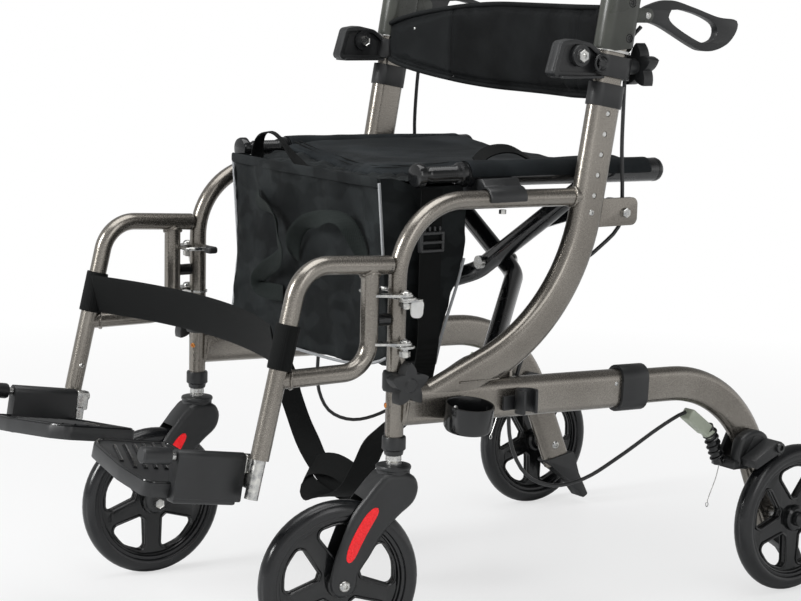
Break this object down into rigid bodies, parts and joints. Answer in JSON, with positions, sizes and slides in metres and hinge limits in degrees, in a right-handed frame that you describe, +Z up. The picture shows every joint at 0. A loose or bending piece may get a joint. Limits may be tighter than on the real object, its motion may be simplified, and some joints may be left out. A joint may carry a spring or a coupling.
{
  "type": "folding rollator",
  "caption": "Folding wheeled walker that doubles as a transport chair, with cross brace, loop brakes, bag, backrest band, swing-away leg rests and footplates.",
  "frame": {"origin": "on the floor, under the middle of the whole object's box", "axes": "+Z up, +Y towards the person who walks behind it, -Y where the seated person faces, +X the seated person's left"},
  "size_m": [0.601, 1.0748, 0.849],
  "materials": {
    "bronze": "metallic gloss paint",
    "steel_black": "gloss paint",
    "zinc": "zinc plated",
    "black_plastic": "fine grain",
    "graphite_plastic": "satin metallic",
    "grip": "matt ribbed",
    "tyre": "satin",
    "cable": "satin sheath",
    "fabric": "woven polyester with sheen"
  },
  "bodies": {
    "left_frame": {"left_side_frame": "bronze", "left_upright_collar": "black_plastic", "left_rear_leg": "bronze", "left_leg_collar": "black_plastic", "left_brake_bracket": "black_plastic", "left_tip_pedal": "black_plastic", "left_rear_axle": "zinc", "left_caster_bushing": "black_plastic", "left_saddle_clip": "black_plastic", "left_brake_cable": "cable", "cane_cup": "black_plastic", "cane_clip": "black_plastic", "seat": "fabric", "bag": "fabric", "seat_belt": "fabric"},
    "right_frame": {"right_side_frame": "bronze", "right_upright_collar": "graphite_plastic", "right_rear_leg": "bronze", "right_leg_collar": "black_plastic", "right_brake_bracket": "black_plastic", "right_tip_pedal": "black_plastic", "right_rear_axle": "zinc", "right_caster_bushing": "black_plastic", "right_saddle_clip": "black_plastic", "right_brake_cable": "cable"},
    "right_brace": {"brace_right_rail": "steel_black", "brace_pivot_bolt": "zinc"},
    "left_brace": {"brace_left_rail": "steel_black"},
    "left_handle": {"left_handle_post": "graphite_plastic", "left_hand_grip": "grip", "left_backrest_clamp": "black_plastic", "backrest_band": "fabric"},
    "left_lever": {"left_brake_lever": "black_plastic"},
    "left_handle_star": {"left_handle_knob": "black_plastic"},
    "left_shoe": {"left_brake_shoe": "black_plastic"},
    "left_wheel": {"left_rear_wheel": "tyre"},
    "left_caster": {"left_caster_fork": "black_plastic"},
    "left_front_wheel": {"left_caster_wheel": "tyre"},
    "left_post_star": {"left_post_knob": "black_plastic"},
    "left_rest": {"left_leg_rest": "bronze", "calf_strap": "fabric"},
    "left_latch": {"left_latch_lever": "zinc"},
    "left_foot": {"left_footrest_tube": "zinc"},
    "left_plate": {"left_footplate": "black_plastic"},
    "left_link": {"left_fold_link": "steel_black"},
    "right_handle": {"right_handle_post": "graphite_plastic", "right_hand_grip": "grip", "right_backrest_clamp": "black_plastic"},
    "right_lever": {"right_brake_lever": "black_plastic"},
    "right_handle_star": {"right_handle_knob": "black_plastic"},
    "right_shoe": {"right_brake_shoe": "black_plastic"},
    "right_wheel": {"right_rear_wheel": "tyre"},
    "right_caster": {"right_caster_fork": "black_plastic"},
    "right_front_wheel": {"right_caster_wheel": "tyre"},
    "right_post_star": {"right_post_knob": "black_plastic"},
    "right_rest": {"right_leg_rest": "bronze"},
    "right_latch": {"right_latch_lever": "zinc"},
    "right_foot": {"right_footrest_tube": "zinc"},
    "right_plate": {"right_footplate": "black_plastic"},
    "right_link": {"right_fold_link": "steel_black"}
  },
  "joints": [
    {"name": "fold", "type": "hinge", "parent": "left_frame", "child": "right_brace", "pos_m": [0.203, -0.033, 0.333], "axis": [0, 1, 0], "range_deg": [0, 46], "deforming": ["seat", "bag", "backrest_band", "calf_strap", "seat_belt"]},
    {"name": "brace_cross", "type": "hinge", "parent": "right_brace", "child": "left_brace", "pos_m": [0, 0.137, 0.432], "axis": [0, 1, 0], "range_deg": [-92, 0]},
    {"name": "right_frame_hinge", "type": "hinge", "parent": "left_brace", "child": "right_frame", "pos_m": [-0.203, -0.033, 0.333], "axis": [0, 1, 0], "range_deg": [0, 46]},
    {"name": "left_link_hinge", "type": "hinge", "parent": "left_frame", "child": "left_link", "pos_m": [0.215, 0.137, 0.531], "axis": [0, 1, 0], "range_deg": [0, 74.8]},
    {"name": "right_link_hinge", "type": "hinge", "parent": "right_frame", "child": "right_link", "pos_m": [-0.215, 0.137, 0.531], "axis": [0, 1, 0], "range_deg": [-74.8, 0]},
    {"name": "left_handle_slide", "type": "slide", "parent": "left_frame", "child": "left_handle", "axis": [0, 0.1702, 0.9854], "range_m": [0, 0.125], "deforming": ["left_brake_cable", "right_brake_cable"]},
    {"name": "left_lever_squeeze", "type": "hinge", "parent": "left_handle", "child": "left_lever", "pos_m": [0.232, 0.17297, 0.766], "axis": [1, 0, 0], "range_deg": [0, 12], "stiffness_Nm_per_rad": 1, "springref_deg": -11.46},
    {"name": "left_shoe_press", "type": "hinge", "parent": "left_frame", "child": "left_shoe", "pos_m": [0.232, 0.395, 0.203], "axis": [1, 0, 0], "range_deg": [0, 14.4]},
    {"name": "left_handle_star_turn", "type": "hinge", "parent": "left_handle", "child": "left_handle_star", "pos_m": [0.232, 0.12212, 0.703], "axis": [0, 1, 0], "continuous": true},
    {"name": "left_wheel_spin", "type": "hinge", "parent": "left_frame", "child": "left_wheel", "pos_m": [0.2765, 0.4375, 0.1], "axis": [1, 0, 0], "continuous": true},
    {"name": "left_caster_swivel", "type": "hinge", "parent": "left_frame", "child": "left_caster", "pos_m": [0.232, -0.191, 0.238], "axis": [0, 0, 1], "continuous": true},
    {"name": "left_front_wheel_spin", "type": "hinge", "parent": "left_caster", "child": "left_front_wheel", "pos_m": [0.21693, -0.25628, 0.1], "axis": [0.9744, -0.225, 0], "continuous": true},
    {"name": "left_post_star_turn", "type": "hinge", "parent": "left_frame", "child": "left_post_star", "pos_m": [0.232, -0.191, 0.338], "axis": [1, 0, 0], "continuous": true},
    {"name": "left_rest_swing", "type": "hinge", "parent": "left_frame", "child": "left_rest", "pos_m": [0.254, -0.194, 0.441], "axis": [0, 0, 1], "range_deg": [0, 100], "deforming": ["calf_strap"]},
    {"name": "left_latch_pull", "type": "hinge", "parent": "left_frame", "child": "left_latch", "pos_m": [0.254, -0.194, 0.441], "axis": [0, 0, -1], "range_deg": [0, 25], "stiffness_Nm_per_rad": 0.05, "springref_deg": -11.46},
    {"name": "left_foot_slide", "type": "slide", "parent": "left_rest", "child": "left_foot", "axis": [0, -0.2333, -0.9724], "range_m": [0, 0.06]},
    {"name": "left_plate_flip", "type": "hinge", "parent": "left_foot", "child": "left_plate", "pos_m": [0.21, -0.383, 0.27], "axis": [0, 0.9728, -0.2317], "range_deg": [0, 99]},
    {"name": "right_handle_slide", "type": "slide", "parent": "right_frame", "child": "right_handle", "axis": [0, 0.1702, 0.9854], "range_m": [0, 0.125]},
    {"name": "right_lever_squeeze", "type": "hinge", "parent": "right_handle", "child": "right_lever", "pos_m": [-0.232, 0.17297, 0.766], "axis": [1, 0, 0], "range_deg": [0, 12], "stiffness_Nm_per_rad": 1, "springref_deg": -11.46},
    {"name": "right_shoe_press", "type": "hinge", "parent": "right_frame", "child": "right_shoe", "pos_m": [-0.232, 0.395, 0.203], "axis": [1, 0, 0], "range_deg": [0, 14.4]},
    {"name": "right_handle_star_turn", "type": "hinge", "parent": "right_handle", "child": "right_handle_star", "pos_m": [-0.232, 0.12212, 0.703], "axis": [0, 1, 0], "continuous": true},
    {"name": "right_wheel_spin", "type": "hinge", "parent": "right_frame", "child": "right_wheel", "pos_m": [-0.2765, 0.4375, 0.1], "axis": [1, 0, 0], "continuous": true},
    {"name": "right_caster_swivel", "type": "hinge", "parent": "right_frame", "child": "right_caster", "pos_m": [-0.232, -0.191, 0.238], "axis": [0, 0, 1], "continuous": true},
    {"name": "right_front_wheel_spin", "type": "hinge", "parent": "right_caster", "child": "right_front_wheel", "pos_m": [-0.23667, -0.25784, 0.1], "axis": [0.9976, -0.0698, 0], "continuous": true},
    {"name": "right_post_star_turn", "type": "hinge", "parent": "right_frame", "child": "right_post_star", "pos_m": [-0.232, -0.191, 0.338], "axis": [1, 0, 0], "continuous": true},
    {"name": "right_rest_swing", "type": "hinge", "parent": "right_frame", "child": "right_rest", "pos_m": [-0.254, -0.194, 0.441], "axis": [0, 0, -1], "range_deg": [0, 100], "deforming": ["calf_strap"]},
    {"name": "right_latch_pull", "type": "hinge", "parent": "right_frame", "child": "right_latch", "pos_m": [-0.254, -0.194, 0.441], "axis": [0, 0, 1], "range_deg": [0, 25], "stiffness_Nm_per_rad": 0.05, "springref_deg": -11.46},
    {"name": "right_foot_slide", "type": "slide", "parent": "right_rest", "child": "right_foot", "axis": [0, -0.2333, -0.9724], "range_m": [0, 0.06]},
    {"name": "right_plate_flip", "type": "hinge", "parent": "right_foot", "child": "right_plate", "pos_m": [-0.21, -0.383, 0.27], "axis": [0, 0.9728, -0.2317], "range_deg": [-99, 0]}
  ],
  "couplings": [
    {"joint": "brace_cross", "follows": "fold", "ratio": -2},
    {"joint": "right_frame_hinge", "follows": "fold", "ratio": 1},
    {"joint": "left_link_hinge", "follows": "fold", "ratio": 1.626},
    {"joint": "right_link_hinge", "follows": "fold", "ratio": -1.626},
    {"joint": "left_plate_flip", "follows": "fold", "ratio": 2.15},
    {"joint": "right_plate_flip", "follows": "fold", "ratio": -2.15},
    {"joint": "right_handle_slide", "follows": "left_handle_slide", "ratio": 1},
    {"joint": "left_shoe_press", "follows": "left_lever_squeeze", "ratio": 1.2},
    {"joint": "right_shoe_press", "follows": "right_lever_squeeze", "ratio": 1.2}
  ]
}
